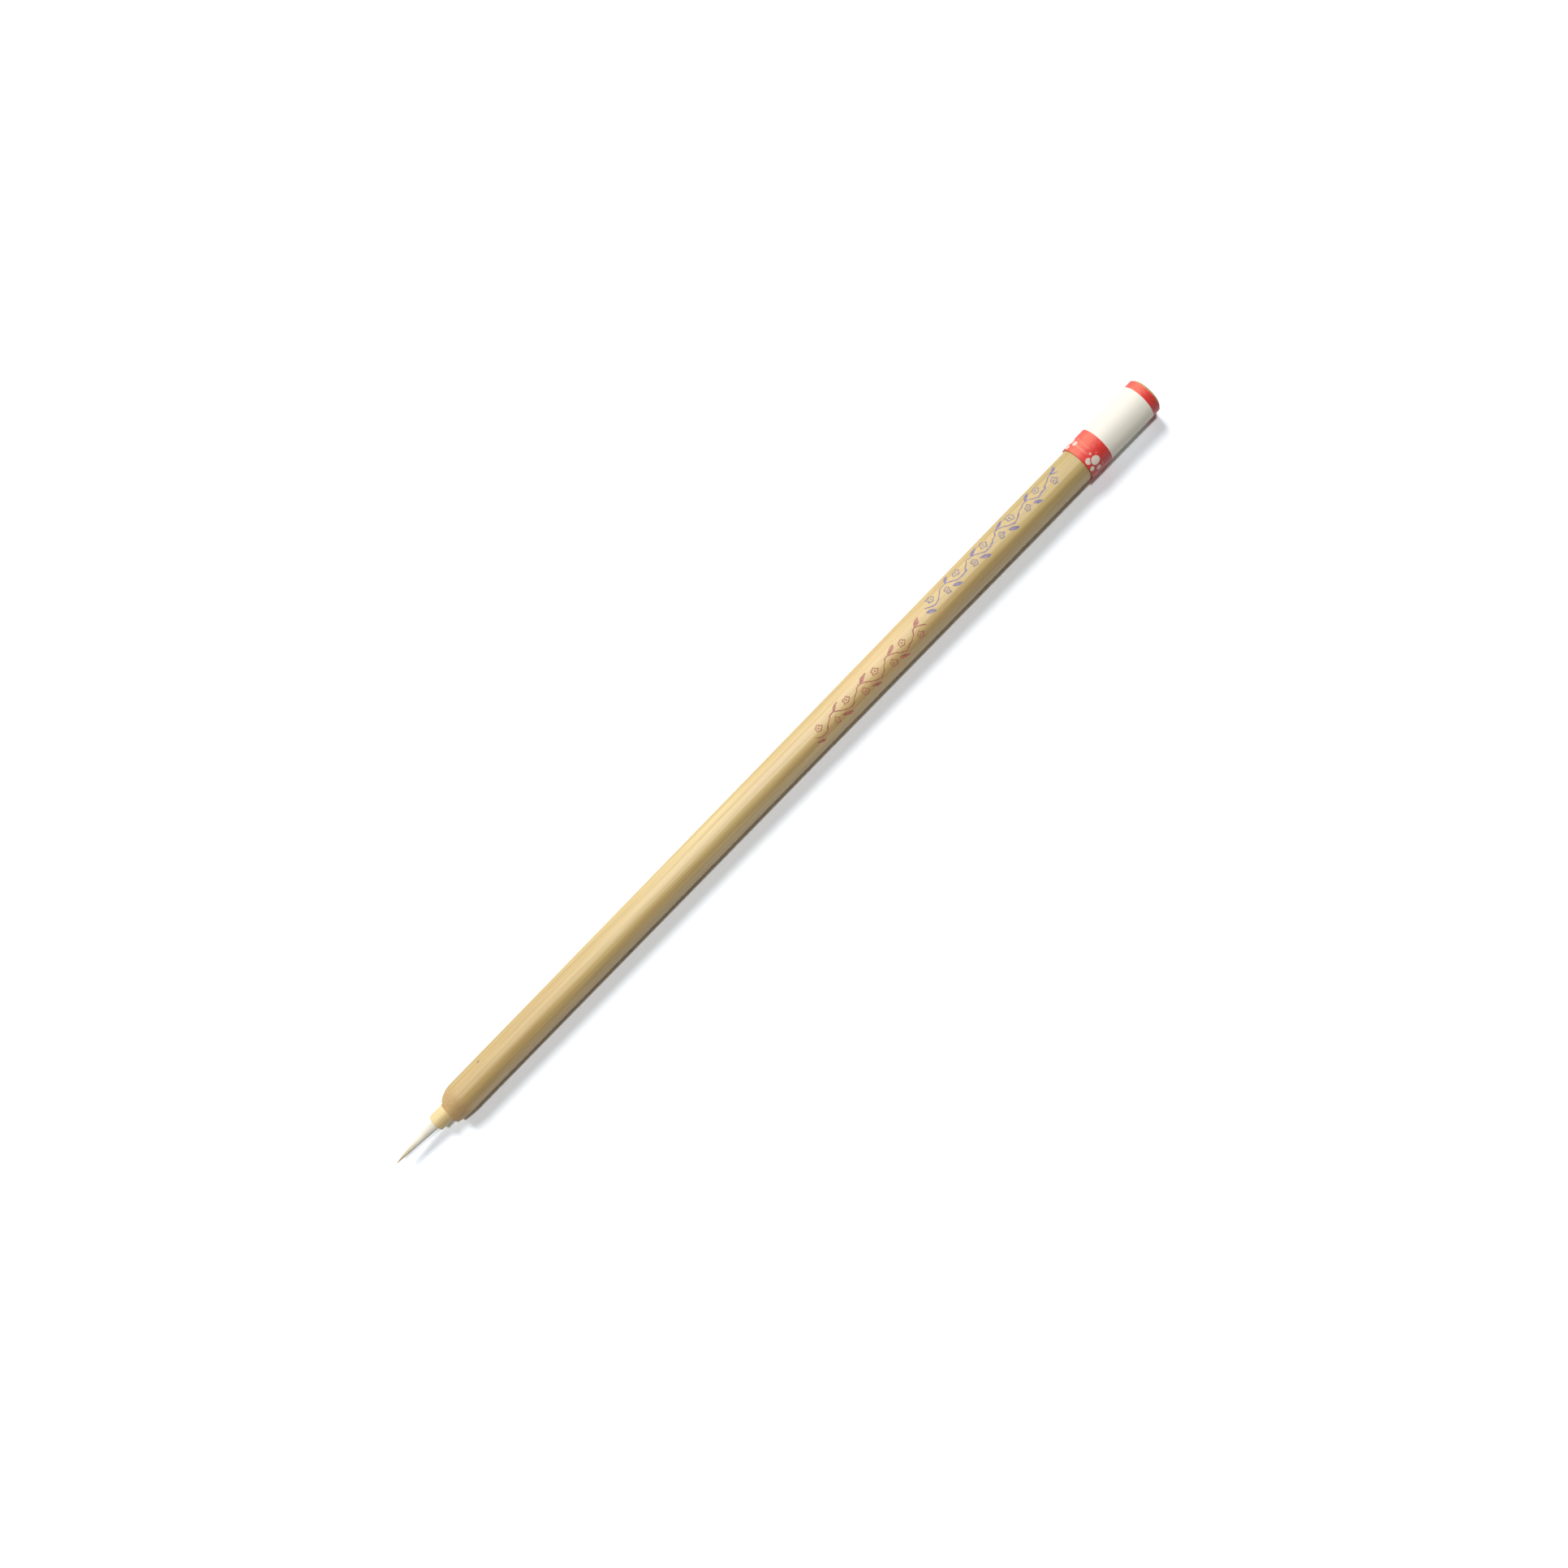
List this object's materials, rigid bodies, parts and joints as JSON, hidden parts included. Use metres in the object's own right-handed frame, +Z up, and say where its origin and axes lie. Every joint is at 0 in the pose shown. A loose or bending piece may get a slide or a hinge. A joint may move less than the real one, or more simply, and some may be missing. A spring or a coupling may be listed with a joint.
{
  "type": "ink painting brush",
  "caption": "Small ink painting brush: bamboo handle with a rounded nose, pale bamboo ferrule, pointed hair tuft and a printed paper label wound round the butt.",
  "frame": {"origin": "the middle of the brush's whole length, on the surface that its label rests on", "axes": "+X along the brush towards the butt, the hair tip towards -X, +Z up, away from the surface that it lies on"},
  "size_m": [0.21, 0.008, 0.008],
  "materials": {
    "handle_bamboo": "satin tan bamboo with long fine grain",
    "ferrule_bamboo": "pale matte bamboo",
    "hide_glue": "dried amber glue",
    "root_hair": "hair roots set hard",
    "binding_thread": "undyed thread",
    "rosin": "dark amber rosin",
    "paste": "dried starch paste",
    "label_paper": "smooth off-white paper with printed red bands",
    "brown_hair": "stiff brown hair",
    "cream_hair": "soft cream hair",
    "white_hair": "soft white hair"
  },
  "bodies": {
    "handle": {"bamboo_handle": "handle_bamboo", "bamboo_ferrule": "ferrule_bamboo", "socket_glue": "hide_glue", "hair_roots": "root_hair", "root_thread": "binding_thread", "root_rosin": "rosin", "label_paste": "paste", "paper_label": "label_paper"},
    "tuft": {"core_hairs": "brown_hair", "belly_hairs": "cream_hair", "cover_hairs": "white_hair"}
  },
  "joints": [
    {"name": "tuft_bend", "type": "hinge", "parent": "handle", "child": "tuft", "pos_m": [-0.09405, 0, 0.00401], "axis": [0, 0, 1], "range_deg": [-45, 45], "stiffness_Nm_per_rad": 0.00005}
  ]
}
